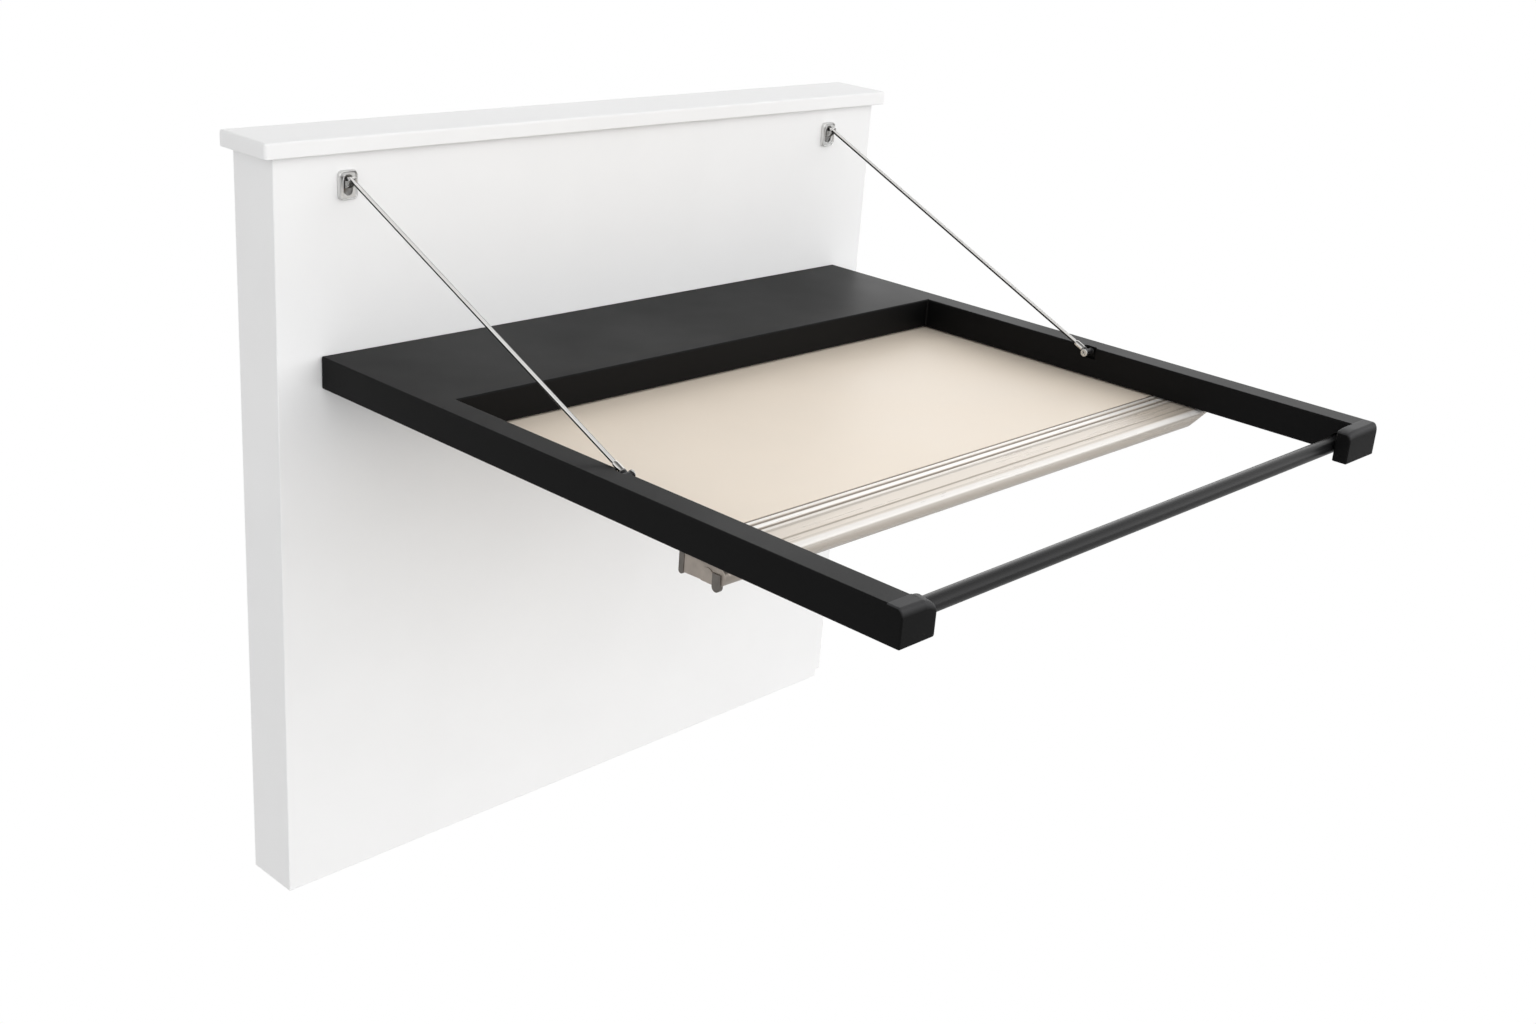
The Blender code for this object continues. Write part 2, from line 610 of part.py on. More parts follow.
def build_left_bracket(tray, bronze):
    """End bracket that wraps round the nose, with two hanging tongues and an arched rib between them."""
    top = TRAY_TOP - 0.0005
    inner = PROFILE_LEFT - GAP
    outer = -TRAY_END
    rear_edge, low_edge = 0.5820, top - 0.0215
    face = [(rear_edge, top)] + [(d, z - 0.0005) for d, z in nose_arc(NOSE_RADIUS, 1)] + [(rear_edge, low_edge)]
    bracket = add_piece("tray_left_bracket", prism_x(face, outer, inner), bronze, tray, True)
    rear = tongue_outline(rear_edge - 0.0060, rear_edge + 0.0005, top, TRAY_TOP - 0.0240)
    front = tongue_outline(0.6215, 0.6320, TRAY_TOP - 0.0080, TRAY_TOP - 0.0262)
    crown, foot = TRAY_TOP - 0.0060, TRAY_TOP - 0.0200
    arch = [(d, crown + foot - z) for d, z in tongue_outline(0.6060, 0.6220, crown, foot)]
    for outline, proud, deep in ((rear, 0.0010, 0.008), (front, 0.0020, 0.003), (arch, 0.0010, 0.003)):
        add_tool(bracket, prism_x(outline, outer - proud, outer + deep), "UNION")


def build_right_cap(tray, metal):
    """Moulded end that carries the bull nose on and tapers it upward."""
    rear = RAIL_START + 0.001

    def section(squash):
        under = TRAY_TOP - 2 * NOSE_RADIUS * squash
        return [(rear, TRAY_TOP)] + nose_arc(NOSE_RADIUS, 1, 10, squash) + [(rear, under)]
    cap = prism_x(section(1.0), PROFILE_RIGHT + GAP, TRAY_END, section(0.35))
    add_piece("tray_right_end_cap", cap, metal, tray, True)


# ---------------------------------------------------------------- stays

def build_stay(side, sign, axis, mats):
    """A straight rod with a cross bar at its head and an eye ferrule at its foot."""
    x = sign * STAY_X
    foot = Vector((x, out(PIVOT_OUT), PIVOT_Z))
    head = Vector((x, out(HOOK_OUT), HOOK_Z))
    along = (head - foot).normalized()
    chrome = mats["chrome"]
    shaft = cylinder(foot + along * (ROD_START + GAP), head, STAY_RADIUS, 16)
    rod = add_piece(f"{side}_stay_rod", shaft, chrome, axis, True)
    reach = Vector((HOOK_HALF, 0, 0))
    add_tool(rod, cylinder(head - reach, head + reach, HOOK_RADIUS, 16), "UNION")
    low, high = sided(sign, STAY_X - 0.0050, STAY_X + 0.0080)
    eye = cylinder((low, foot.y, foot.z), (high, foot.y, foot.z), EYE_RADIUS, 24)
    ferrule = add_piece(f"{side}_stay_ferrule", eye, chrome, axis, True)
    add_tool(ferrule, cylinder(foot + along * 0.001, foot + along * FERRULE_END, FERRULE_RADIUS, 16), "UNION")
    bore_end = foot + along * (FERRULE_END + BEYOND)
    add_tool(ferrule, cylinder(foot + along * ROD_START, bore_end, STAY_RADIUS + GAP, 16))
    add_tool(ferrule, cylinder((low - BEYOND, foot.y, foot.z), (high + BEYOND, foot.y, foot.z),
                               STAY_SCREW[1] + GAP, 16))


def main():
    clear_scene()
    mats = {
        "white": make_material("white_lacquer", (0.86, 0.86, 0.86), 0.45),
        "wood": make_material("bare_wood", (0.55, 0.42, 0.27), 0.7),
        "black": make_material("black_satin", (0.012, 0.012, 0.013), 0.42),
        "black_steel": make_material("black_steel", (0.02, 0.02, 0.02), 0.45, 0.6),
        "nickel": make_material("brushed_nickel", (0.56, 0.55, 0.54), 0.32, 1.0),
        "steel": make_material("plated_steel", (0.60, 0.60, 0.60), 0.30, 1.0),
        "chrome": make_material("polished_steel", (0.80, 0.80, 0.80), 0.12, 1.0),
        "beige": make_material("beige_panel", (0.86, 0.78, 0.68), 0.38),
        "champagne": make_material("champagne_profile", (0.83, 0.77, 0.69), 0.28, 0.35),
        "bronze": make_material("bronze_bracket", (0.30, 0.27, 0.24), 0.35, 0.8),
    }
    board = make_axis("board_origin", (0, 0, 0))
    rack = make_axis("fold_axis", (0, out(FOLD_OUT), 0))
    tray = make_axis("tray_slide_axis", (0, out(RAIL_START), TRAY_TOP), rack)
    build_backboard(board, mats)
    build_frame(rack, mats)
    build_tray(tray, mats)
    for side, sign in (("left", -1), ("right", 1)):
        stay_axis = make_axis(f"{side}_stay_axis", (sign * STAY_X, out(PIVOT_OUT), PIVOT_Z), rack)
        build_stay(side, sign, stay_axis, mats)


main()
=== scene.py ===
"""Wall mounted fold-down drying rack: the looks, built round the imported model."""
import json
import math

import bmesh
import bpy
from mathutils import Matrix, Vector

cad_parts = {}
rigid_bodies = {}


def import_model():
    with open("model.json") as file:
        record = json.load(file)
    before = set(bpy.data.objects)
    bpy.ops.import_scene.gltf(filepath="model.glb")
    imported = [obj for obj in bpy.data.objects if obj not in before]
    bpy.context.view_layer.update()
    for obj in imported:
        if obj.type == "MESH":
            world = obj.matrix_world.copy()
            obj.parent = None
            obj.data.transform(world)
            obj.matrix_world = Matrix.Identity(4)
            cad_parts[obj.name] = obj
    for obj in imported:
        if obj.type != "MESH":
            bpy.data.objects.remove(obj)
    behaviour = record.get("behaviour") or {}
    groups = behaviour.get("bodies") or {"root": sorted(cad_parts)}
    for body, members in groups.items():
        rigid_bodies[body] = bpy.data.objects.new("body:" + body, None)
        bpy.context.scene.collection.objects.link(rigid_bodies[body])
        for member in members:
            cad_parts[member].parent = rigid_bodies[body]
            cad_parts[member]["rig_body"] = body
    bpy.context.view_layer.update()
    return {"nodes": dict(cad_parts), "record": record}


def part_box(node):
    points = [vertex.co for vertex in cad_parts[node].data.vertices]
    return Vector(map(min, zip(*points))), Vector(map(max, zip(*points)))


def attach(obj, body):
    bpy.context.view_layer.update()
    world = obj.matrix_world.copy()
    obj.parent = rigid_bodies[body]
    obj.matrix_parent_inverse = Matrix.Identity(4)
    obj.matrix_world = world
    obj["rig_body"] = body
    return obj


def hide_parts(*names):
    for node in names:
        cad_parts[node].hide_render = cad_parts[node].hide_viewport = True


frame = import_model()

NODES = frame["nodes"]
SIDES = (("left", -1), ("right", 1))
TINY = 0.00001
GAP = 0.0003

# Studio
CAMERA_PLACE = (-1.5336, -1.7656, 0.6725)
CAMERA_YAW = math.radians(47.911)
CAMERA_PITCH = math.radians(-21.192)
CAMERA_ROLL = math.radians(4.580)
CAMERA_LENS = 42.709
FLOOR_Z = -2.60
FLOOR_REACH = 400.0
FLOOR_TONE = 0.62
ROOM_LIGHT = 1.30
# Soft lights: direction, how narrow, how strong
LIGHT_LOBES = (((0.25, -0.92, 0.30), 3.0, 1.40),
               ((-1.0, -0.15, 0.10), 2.0, 0.30),
               ((0.69, 0.62, 0.36), 6.0, 1.20),
               ((0.0, 0.0, 1.0), 1.0, -1.20))


# ---------------------------------------------------------------- places, read from the frame

def low(node):
    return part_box(node)[0]


def high(node):
    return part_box(node)[1]


def middle(node):
    return (low(node) + high(node)) / 2


FACE_Y = low("backboard_shell").y
BOARD_HALF = high("backboard_shell").x
RACK_HALF = high("right_arm").x
ARM_INNER = low("right_arm").x
RACK_TOP = high("right_arm").z
RACK_UNDER = low("right_arm").z
BLOCK_REAR_Y = high("right_end_block").y
BLOCK_FRONT_Y = low("right_end_block").y
SHELF_Y = low("shelf_deck").y
DECK_UNDER = low("shelf_deck").z
STAY_X = middle("right_stay_rod").x
PIVOT = middle("right_stay_screw")
TRAY_TOP = high("tray_panel").z


# ---------------------------------------------------------------- sizes of the fine surface

# The tray's nose: how far it reaches from the board, and its radius
NOSE_OUT = FACE_Y - 0.627
NOSE_RADIUS = 0.010
# Grooves along the tray's front edge: distance from the board, half width, depth and how dark their
# painted shade is
GROOVES = ((0.5665, 0.0014, 0.0014, 1.00),
           (0.5750, 0.0022, 0.0016, 0.70),
           (0.5862, 0.0024, 0.0015, 0.70),
           (0.5948, 0.0032, 0.0007, 0.35),
           (0.6172, 0.0020, 0.0008, 0.40))
# A faint line of shade at the root of the nose, with no groove
NOSE_LINE = (0.6268, 0.0020, 0.20)
# Painted highlights on the crests between the grooves and along the nose: distance, half width and how
# pale
PAINTED_CREST_HIGHLIGHTS = ((0.5698, 0.0030, 0.7), (0.5806, 0.0040, 1.0), (0.5912, 0.0030, 0.5), (0.6330, 0.0048, 1.0))

# Rounding of the painted frame's edges
FRAME_ROUND = 0.0018
# How the end blocks' tops fall to their tips: drop, reach and the tip's rounding
BLOCK_FALL = {"left": (0.015, 0.026, 0.0036), "right": (0.004, 0.022, 0.0016)}

# Stays: rod, cross head, eye and its bore
ROD_RADIUS = 0.0025
CROSS_RADIUS = 0.00225
EYE_RADIUS = 0.0045
EYE_BORE = 0.0023


# ---------------------------------------------------------------- meshes

def new_solid(rings, looped=False):
    """A closed mesh through rings of points; looped joins the last ring to the first."""
    bm = bmesh.new()
    rows = [[bm.verts.new(point) for point in ring] for ring in rings]
    pairs = list(zip(rows, rows[1:]))
    if looped:
        pairs.append((rows[-1], rows[0]))
    for row, following in pairs:
        for i, corner in enumerate(row):
            j = (i + 1) % len(row)
            bm.faces.new((corner, row[j], following[j], following[i]))
    if not looped:
        bm.faces.new(list(reversed(rows[0])))
        bm.faces.new(rows[-1])
    bmesh.ops.remove_doubles(bm, verts=bm.verts, dist=TINY / 10)
    bmesh.ops.recalc_face_normals(bm, faces=bm.faces)
    return bm


def block(corner, opposite):
    """A box between two corners."""
    lowest = Vector([min(a, b) for a, b in zip(corner, opposite)])
    highest = Vector([max(a, b) for a, b in zip(corner, opposite)])
    bm = bmesh.new()
    bmesh.ops.create_cube(bm, size=1.0)
    bmesh.ops.scale(bm, vec=highest - lowest, verts=bm.verts)
    bmesh.ops.translate(bm, vec=(lowest + highest) / 2, verts=bm.verts)
    return bm


def prism(outline, axis, start, end):
    """An outline carried along an axis; its points are the other two coordinates, in order."""
    def point(across, up, along):
        place = [across, up]
        place.insert("xyz".index(axis), along)
        return Vector(place)
    return new_solid([[point(a, b, along) for a, b in outline] for along in (start, end)])


def turned(profile, start, along, sides=32):
    """A turned piece: (distance, radius) points from start."""
    start, along = Vector(start), Vector(along).normalized()
    across = along.orthogonal().normalized()
    beside = along.cross(across)
    turns = [2 * math.pi * i / sides for i in range(sides)]
    spokes = [across * math.cos(turn) + beside * math.sin(turn) for turn in turns]
    return new_solid([[start + along * distance + spoke * radius for spoke in spokes]
                      for distance, radius in profile])


def rod(start, end, radius, round_end=0.0, sides=32, steps=4):
    """A straight round bar whose ends are rounded over."""
    along = Vector(end) - Vector(start)
    arc = [math.pi / 2 * i / steps for i in range(steps + 1)] if round_end else [math.pi / 2]
    cap = [(round_end * (1 - math.sin(turn)), radius - round_end * (1 - math.cos(math.pi / 2 - turn)))
           for turn in reversed(arc)]
    tail = [(along.length - distance, size) for distance, size in cap]
    return turned(sorted(cap) + sorted(tail, key=lambda item: item[0]), start, along, sides)


def rounded_rectangle(width, height, radius, steps=5):
    """Corner arcs of a rectangle about its centre, as (across, up) points."""
    points = []
    for quarter, (sx, sy) in enumerate(((1, 1), (-1, 1), (-1, -1), (1, -1))):
        for i in range(steps + 1):
            turn = math.pi / 2 * (quarter + i / steps)
            points.append((sx * (width / 2 - radius) + radius * math.cos(turn),
                           sy * (height / 2 - radius) + radius * math.sin(turn)))
    return points


def round_edges(bm, width, segments=3, chosen=None, steep=30):
    """Rounds the sharp edges that are chosen, or all of them."""
    edges = [edge for edge in bm.edges
             if len(edge.link_faces) == 2 and edge.calc_face_angle(0) > math.radians(steep)
             and (chosen is None or chosen(edge))]
    bmesh.ops.bevel(bm, geom=edges, offset=width, offset_type="OFFSET", segments=segments,
                    profile=0.5, affect="EDGES", clamp_overlap=True)
    return bm


def hold(bm, name):
    """Puts a mesh in the scene."""
    mesh = bpy.data.meshes.new(name)
    bm.to_mesh(mesh)
    bm.free()
    piece = bpy.data.objects.new(name, mesh)
    bpy.context.scene.collection.objects.link(piece)
    return piece


def carve(bm, tool, operation="DIFFERENCE"):
    """The Boolean of two meshes, as a new one."""
    kept, guide = hold(bm, "carved"), hold(tool, "tool")
    boolean = kept.modifiers.new("carve", "BOOLEAN")
    boolean.operation = operation
    boolean.solver = "EXACT"
    boolean.object = guide
    evaluated = kept.evaluated_get(bpy.context.evaluated_depsgraph_get())
    result = bmesh.new()
    result.from_mesh(evaluated.data)
    for piece in (kept, guide):
        mesh = piece.data
        bpy.data.objects.remove(piece)
        bpy.data.meshes.remove(mesh)
    return result


def node_mesh(node, merge_angle=1.0):
    """A CAD node's shape, with its flat faces whole again."""
    bm = bmesh.new()
    bm.from_mesh(NODES[node].data)
    bmesh.ops.remove_doubles(bm, verts=bm.verts, dist=TINY)
    bmesh.ops.dissolve_limit(bm, angle_limit=math.radians(merge_angle), verts=bm.verts, edges=bm.edges)
    return bm


SLOTS = {part["node"]: part["material_slot"] for part in frame["record"]["subparts"]}


def add_piece(name, bm, node, sharp=35, material=None):
    """Makes the piece that stands for a CAD node, on that node's body and in its finish."""
    piece = hold(bm, name)
    mesh = piece.data
    mesh.shade_smooth()
    mesh.set_sharp_from_angle(angle=math.radians(sharp))
    slot = SLOTS[node]
    mesh.materials.append(MATERIALS[material or slot])
    shading = piece.modifiers.new("even_shading", "WEIGHTED_NORMAL")
    shading.keep_sharp = True
    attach(piece, NODES[node]["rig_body"])
    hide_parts(node)
    return piece


# ---------------------------------------------------------------- materials

def link_node(tree, kind, operation, values, output=0):
    """A Math or Vector Math node in a tree; its inputs are sockets or plain values."""
    node = tree.nodes.new(kind)
    node.operation = operation
    for socket, value in zip(node.inputs, values):
        if isinstance(value, bpy.types.NodeSocket):
            tree.links.new(value, socket)
        else:
            socket.default_value = value
    return node.outputs[output]


def link_math(tree, operation, *values):
    return link_node(tree, "ShaderNodeMath", operation, values)


def link_vector(tree, operation, *values, output="Vector"):
    return link_node(tree, "ShaderNodeVectorMath", operation, values, output)


class Weave:
    """Adds nodes to a material one after another."""

    def __init__(self, name):
        self.material = bpy.data.materials.new(name)
        self.material.use_nodes = True
        self.tree = self.material.node_tree
        self.shader = self.tree.nodes["Principled BSDF"]
        coordinates = self.add("ShaderNodeTexCoord")
        self.place, self.normal = coordinates.outputs["Object"], coordinates.outputs["Normal"]

    def add(self, kind, settings=None, **inputs):
        node = self.tree.nodes.new(kind)
        for key, value in (settings or {}).items():
            setattr(node, key, value)
        for key, value in inputs.items():
            self.feed(node.inputs[key.replace("_", " ")], value)
        return node

    def feed(self, socket, value):
        if isinstance(value, bpy.types.NodeSocket):
            self.tree.links.new(value, socket)
        else:
            socket.default_value = value

    def stretched(self, scale):
        return self.add("ShaderNodeMapping", Vector=self.place, Scale=scale).outputs["Vector"]

    def noise(self, scale, detail=3.0, roughness=0.5, stretch=(1, 1, 1)):
        node = self.add("ShaderNodeTexNoise", Vector=self.stretched(stretch), Scale=scale, Detail=detail,
                        Roughness=roughness)
        return node.outputs["Fac"]

    def blend(self, factor, first, second):
        node = self.add("ShaderNodeMix", {"data_type": "RGBA"})
        factor_in, first_in, second_in = (node.inputs[i] for i in (0, 6, 7))
        for socket, value in ((factor_in, factor), (first_in, first), (second_in, second)):
            self.feed(socket, value)
        return node.outputs[2]

    def facing(self, direction):
        """How far the surface looks one way in the piece's own axes, from -1 to 1."""
        return link_vector(self.tree, "DOT_PRODUCT", self.normal, Vector(direction).normalized(),
                           output="Value")

    def stripes(self, lines):
        """How deep in one of several lines along X a place is, from 0 outside to each line's weight.
        A line is its distance from the board's face, half its width, and its weight."""
        across = self.add("ShaderNodeSeparateXYZ", Vector=self.place).outputs["Y"]
        total = 0.0
        for distance, half, weight in lines:
            away = link_math(self.tree, "SUBTRACT", across, FACE_Y - distance)
            size = link_math(self.tree, "ABSOLUTE", away)
            depth = self.add("ShaderNodeMapRange", {"interpolation_type": "SMOOTHSTEP"}, Value=size,
                             From_Min=half * 1.1, From_Max=half * 0.35, To_Min=0.0, To_Max=weight)
            total = link_math(self.tree, "MAXIMUM", depth.outputs["Result"], total)
        return total

    def span(self, value, start, end, source=(0.3, 0.7)):
        node = self.add("ShaderNodeMapRange", Value=value, To_Min=start, To_Max=end)
        node.inputs["From Min"].default_value, node.inputs["From Max"].default_value = source
        return node.outputs["Result"]

    def relief(self, height, depth, normal=None):
        node = self.add("ShaderNodeBump", Height=height, Distance=depth, Strength=1.0)
        if normal is not None:
            self.feed(node.inputs["Normal"], normal)
        return node.outputs["Normal"]

    def finish(self, **inputs):
        for key, value in inputs.items():
            self.feed(self.shader.inputs[key.replace("_", " ")], value)
        return self.material


def shade(colour, factor):
    return (*[channel * factor for channel in colour], 1.0)


def coated(name, colour, roughness, tone=0.03, swing=0.04, relief_scale=420.0, relief_depth=0.00002,
           stretch=(1, 1, 1), metallic=0.0, specular=0.5, tone_scale=9.0):
    """Paint, lacquer, powder or plate: faint drifts of tone and gloss, and a fine surface relief."""
    weave = Weave(name)
    drift = weave.noise(tone_scale, 4.0, stretch=stretch)
    fine = weave.noise(relief_scale, 2.0, stretch=stretch)
    base = weave.blend(weave.span(drift, 0, 1), shade(colour, 1 - tone), shade(colour, 1 + tone))
    gloss = weave.span(drift, roughness - swing, roughness + swing)
    return weave.finish(Base_Color=base, Roughness=gloss, Metallic=metallic, Specular_IOR_Level=specular,
                        Normal=weave.relief(fine, relief_depth))


def brushed(name, colour, roughness, stretch, tone=0.08, relief_depth=0.00001, line_scale=900.0):
    """Metal with fine parallel lines from brushing or drawing."""
    weave = Weave(name)
    lines = weave.noise(line_scale, 3.0, 0.6, stretch)
    drift = weave.noise(30.0, 3.0)
    base = weave.blend(weave.span(lines, 0, 1), shade(colour, 1 - tone), shade(colour, 1 + tone))
    wear_and_painted_sheen = weave.span(drift, roughness - 0.05, roughness + 0.05)
    return weave.finish(Base_Color=base, Roughness=wear_and_painted_sheen, Metallic=1.0,
                        Normal=weave.relief(lines, relief_depth))


def softwood(name, pale, dark):
    """Planed softwood with the grain along X."""
    weave = Weave(name)
    rings = weave.add("ShaderNodeTexWave", {"wave_type": "BANDS", "bands_direction": "Z"},
                      Vector=weave.stretched((0.25, 1.0, 1.0)), Scale=38.0, Distortion=5.0, Detail=3.0)
    rings.inputs["Detail Scale"].default_value = 1.2
    fibre = weave.noise(240.0, 5.0, 0.6, (0.04, 1, 1))
    drift = weave.noise(6.0, 3.0, 0.5, (0.4, 1, 1))
    ring = weave.span(rings.outputs["Fac"], 0, 0.8, (0.2, 0.95))
    base = weave.blend(ring, shade(pale, 1), shade(dark, 1))
    base = weave.blend(weave.span(fibre, 0, 0.5), base, shade(dark, 0.75))
    base = weave.blend(weave.span(drift, 0, 0.35), base, shade(pale, 1.1))
    return weave.finish(Base_Color=base, Roughness=weave.span(fibre, 0.62, 0.8),
                        Normal=weave.relief(fibre, 0.0001))


def painted_timber(name, colour, wear_and_painted_sheen=1.0):
    """Black satin paint over planed timber: the grain just telegraphs, and the gloss drifts a little.
    Faces that look up are painted paler by the given factor, a painted sheen where the light falls on the
    tops."""
    weave = Weave(name)
    grain = weave.noise(300.0, 4.0, 0.6, (0.12, 0.12, 1.0))
    stipple = weave.noise(700.0, 2.0)
    drift = weave.noise(5.0, 3.0)
    base = weave.blend(weave.span(drift, 0, 1), shade(colour, 0.85), shade(colour, 1.2))
    # Painted sheen: faces that look up are painted paler, as where light falls on the tops.
    if wear_and_painted_sheen > 1:
        painted_top_sheen = weave.span(weave.facing((0, 0, 1)), 0.0, 1.0, (0.10, 0.55))
        base = weave.blend(painted_top_sheen, base, shade(colour, wear_and_painted_sheen))
    relief = weave.relief(stipple, 0.00002, weave.relief(grain, 0.000012))
    return weave.finish(Base_Color=base, Roughness=weave.span(drift, 0.40, 0.50),
                        Specular_IOR_Level=0.10, Normal=relief)


def grooved_aluminium(name, colour, shadow):
    """Champagne coated extrusion with painted highlights on its crests, painted shade in its grooves and
    painted shade on its underside.
    """
    weave = Weave(name)
    drift = weave.noise(120.0, 4.0, stretch=(0.06, 1, 1))
    fine = weave.noise(420.0, 2.0, stretch=(0.06, 1, 1))
    base = weave.blend(weave.span(drift, 0, 1), shade(colour, 0.98), shade(colour, 1.02))
    # Painted highlights: the crests and a band along the nose are painted paler.
    base = weave.blend(weave.stripes(PAINTED_CREST_HIGHLIGHTS), base, (0.97, 0.94, 0.90, 1))
    # Painted shade: the grooves and the root of the nose are painted darker.
    painted_groove_shade = [(distance, half, tone) for distance, half, _, tone in GROOVES] + [NOSE_LINE]
    base = weave.blend(weave.stripes(painted_groove_shade), base, shade(shadow, 1))
    # Painted shade: the nose's underside, below the top's lip, is painted darker.
    height = weave.add("ShaderNodeSeparateXYZ", Vector=weave.place).outputs["Z"]
    under = weave.span(height, 0.75, 0.0, (TRAY_TOP - 0.0048, TRAY_TOP - 0.0034))
    base = weave.blend(under, base, shade(colour, 0.55))
    return weave.finish(Base_Color=base, Roughness=weave.span(drift, 0.26, 0.32), Metallic=0.10,
                        Normal=weave.relief(fine, 0.000002))


def polished_rod(name, pale, dark):
    """Polished round steel with painted reflections: a pale core between a painted dark band along its
    underside and a thin painted dark one on top.
    """
    underside = (-0.63, 0.28, -0.72)
    weave = Weave(name)
    fine = weave.noise(900.0, 2.0, 0.5, (1.0, 0.05, 0.05))
    # Painted reflections: by how the surface faces, a pale core, a dark band underneath and a thin dark
    # line on top are painted into the colour and the metal.
    turn = weave.facing(underside)
    under = weave.span(turn, 0.0, 1.0, (0.22, 0.38))
    over = weave.span(turn, 0.85, 0.0, (-0.88, -0.70))
    metal = weave.span(under, 0.35, 0.0, (0.0, 1.0))
    base = weave.blend(weave.span(fine, 0, 1), shade(pale, 0.97), shade(pale, 1.03))
    base = weave.blend(over, base, shade(dark, 8))
    base = weave.blend(under, base, shade(dark, 1))
    return weave.finish(Base_Color=base, Roughness=weave.span(fine, 0.16, 0.22), Metallic=metal,
                        Specular_IOR_Level=0.15)


def blackened_foot(name, colour, roughness):
    """Steel that is blackened round the pivot and bright up the sleeve."""
    dark_within, bright_beyond = 0.0062, 0.0085
    weave = Weave(name)
    from_pivot = link_vector(weave.tree, "SUBTRACT", weave.place, (0, PIVOT.y, PIVOT.z))
    across = link_vector(weave.tree, "MULTIPLY", from_pivot, (0, 1, 1))
    away = link_vector(weave.tree, "LENGTH", across, output="Value")
    bright = weave.span(away, 0.0, 1.0, (dark_within, bright_beyond))
    drift = weave.noise(900.0, 2.0)
    steel = weave.blend(weave.span(drift, 0, 1), shade(colour, 0.94), shade(colour, 1.06))
    base = weave.blend(bright, (0.012, 0.012, 0.013, 1), steel)
    return weave.finish(Base_Color=base, Roughness=weave.span(bright, 0.42, roughness, (0.0, 1.0)),
                        Metallic=bright)


BLACK_PAINT = (0.0026, 0.0026, 0.0027)
MATERIALS = {
    "white_lacquer": coated("white_lacquer", (0.87, 0.87, 0.87), 0.55, tone=0.008, relief_depth=0.00001,
                            specular=0.12),
    "bare_wood": softwood("bare_wood", (0.66, 0.50, 0.31), (0.44, 0.29, 0.15)),
    "black_painted_wood": painted_timber("black_painted_wood", BLACK_PAINT),
    # The end blocks carry the painted sheen: their up-facing faces are painted up to 17 times lighter.
    "black_end_grain": painted_timber("black_end_grain", BLACK_PAINT, 17.0),
    "black_bar": coated("black_bar", (0.010, 0.010, 0.0105), 0.30, tone=0.12, specular=0.22,
                        relief_scale=1500.0, relief_depth=0.000006),
    "black_steel": coated("black_steel", (0.018, 0.018, 0.019), 0.42, tone=0.15, specular=0.4,
                          relief_scale=1200.0, relief_depth=0.00002),
    "brushed_nickel": brushed("brushed_nickel", (0.72, 0.72, 0.71), 0.30, (1.0, 1.0, 0.06)),
    "plated_steel": coated("plated_steel", (0.58, 0.58, 0.57), 0.26, tone=0.10, metallic=1.0,
                           tone_scale=160.0, relief_scale=1800.0, relief_depth=0.000006),
    "polished_steel": polished_rod("polished_steel", (0.93, 0.92, 0.90), (0.02, 0.02, 0.02)),
    "blackened_foot": blackened_foot("blackened_foot", (0.66, 0.65, 0.63), 0.16),
    "beige_panel": coated("beige_panel", (0.93, 0.82, 0.69), 0.40, tone=0.012, specular=0.3,
                          relief_depth=0.000008),
    "grooved_aluminium": grooved_aluminium("grooved_aluminium", (0.69, 0.61, 0.52), (0.10, 0.075, 0.055)),
    "champagne_aluminium": coated("champagne_aluminium", (0.86, 0.79, 0.71), 0.30, tone=0.02,
                                  stretch=(0.06, 1, 1), metallic=0.25, tone_scale=120.0,
                                  relief_depth=0.000006),
    "dark_bronze": coated("dark_bronze", (0.17, 0.155, 0.14), 0.34, tone=0.10, metallic=0.6,
                          tone_scale=90.0, relief_scale=1400.0, relief_depth=0.00001),
    "bronze_bracket": coated("bronze_bracket", (0.42, 0.37, 0.325), 0.34, tone=0.10, metallic=0.6,
                             tone_scale=90.0, relief_scale=1400.0, relief_depth=0.00001),
}


def dress_nodes():
    """Gives every CAD node the finish of its slot, for those that no piece replaces."""
    for node, slot in SLOTS.items():
        mesh = NODES[node].data
        mesh.materials.clear()
        mesh.materials.append(MATERIALS[slot])


# ---------------------------------------------------------------- backboard

def build_shell():
    """Board folded round three sides, with a notch at its lower right corner and a slot for each stay."""
    skin, ease, beyond = 0.012, 0.0014, 0.02
    notch_wide, notch_high = 0.009, 0.012
    slot_wide, slot_tall, slot_round = 0.0124, 0.0234, 0.0061
    bottom, top = low("backboard_shell").z, high("backboard_shell").z
    inner = BOARD_HALF - skin
    plan = [(-BOARD_HALF, 0), (-BOARD_HALF, FACE_Y), (BOARD_HALF, FACE_Y), (BOARD_HALF, 0),
            (inner, 0), (inner, FACE_Y + skin), (-inner, FACE_Y + skin), (-inner, 0)]
    shell = prism(plan, "z", bottom, top)
    shell = carve(shell, block((BOARD_HALF - notch_wide, FACE_Y - beyond, bottom - beyond),
                               (BOARD_HALF + beyond, beyond, bottom + notch_high)))
    round_edges(shell, ease, 3, lambda edge: all(abs(v.co.x) > inner + TINY or v.co.y < FACE_Y + TINY
                                                 for v in edge.verts))
    for side, _ in SIDES:
        plate = middle(f"{side}_stay_plate")
        slot = [(plate.x + a, plate.z + b)
                for a, b in rounded_rectangle(slot_wide, slot_tall, slot_round)]
        shell = carve(shell, prism(slot, "y", FACE_Y - beyond, FACE_Y + skin + beyond))
    add_piece("backboard_face", shell, "backboard_shell")


